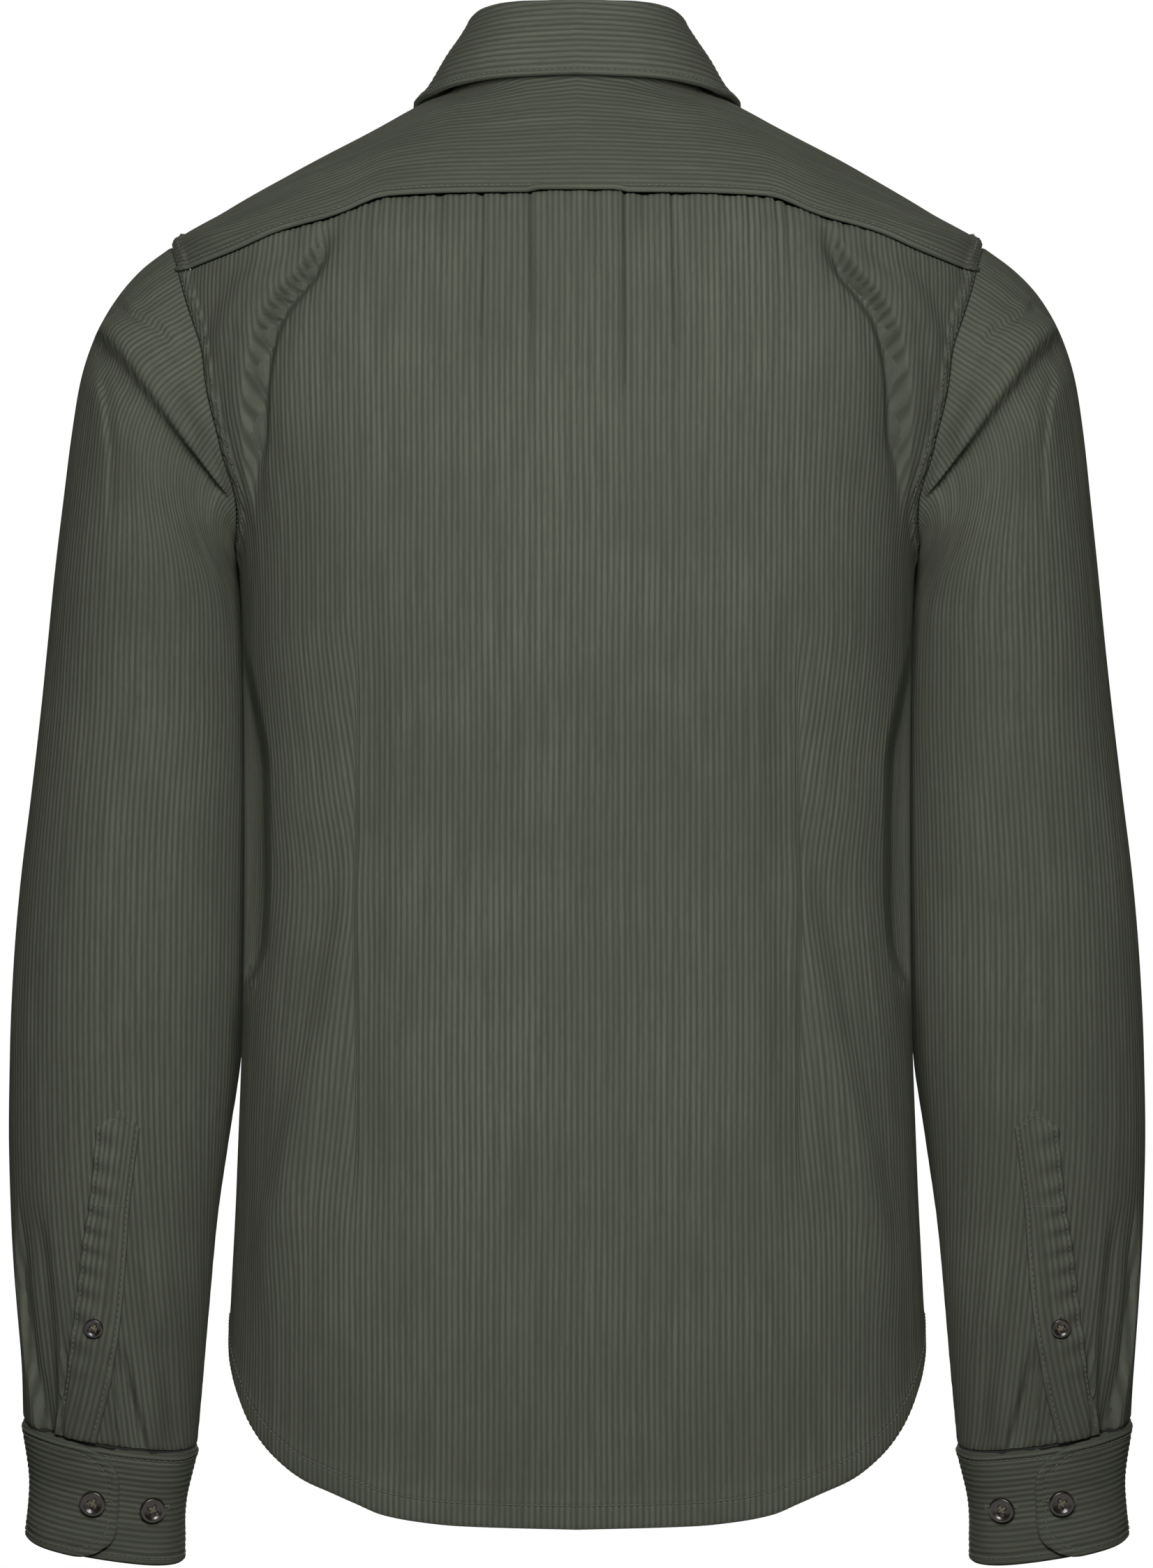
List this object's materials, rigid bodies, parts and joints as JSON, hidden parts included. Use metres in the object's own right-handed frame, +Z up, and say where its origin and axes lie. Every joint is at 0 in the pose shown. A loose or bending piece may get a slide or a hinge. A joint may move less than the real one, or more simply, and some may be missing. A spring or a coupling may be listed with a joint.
{
  "type": "corduroy shirt jacket",
  "caption": "Button-front corduroy overshirt with a turned-down collar, back yoke, box pleat, long sleeves with button cuffs and a shirt-tail hem, hollow as worn.",
  "frame": {"origin": "the middle of the neck opening, level with the points where the shoulders meet the neck, at the wearer's neck and shoulders mount", "axes": "+Z up along the wearer, +X to the wearer's left, -Y out of the wearer's chest, so the back faces +Y"},
  "size_m": [0.5898, 0.2546, 0.8059],
  "materials": {
    "cord": "8-wale corduroy, soft ribbed pile",
    "button": "dark horn, polished"
  },
  "bodies": {
    "root": {"back": "cord", "yoke": "cord", "front_left": "cord", "front_right": "cord", "collar_stand": "cord", "collar_leaf": "cord", "sleeve_left": "cord", "sleeve_right": "cord", "cuff_left": "cord", "cuff_right": "cord", "sleeve_placket_left": "cord", "sleeve_placket_right": "cord", "cuff_button_left_a": "button", "cuff_button_left_b": "button", "cuff_button_right_a": "button", "cuff_button_right_b": "button", "placket_button_left": "button", "placket_button_right": "button", "front_button_1": "button", "front_button_2": "button", "front_button_3": "button", "front_button_4": "button", "front_button_5": "button", "front_button_6": "button"}
  },
  "joints": []
}
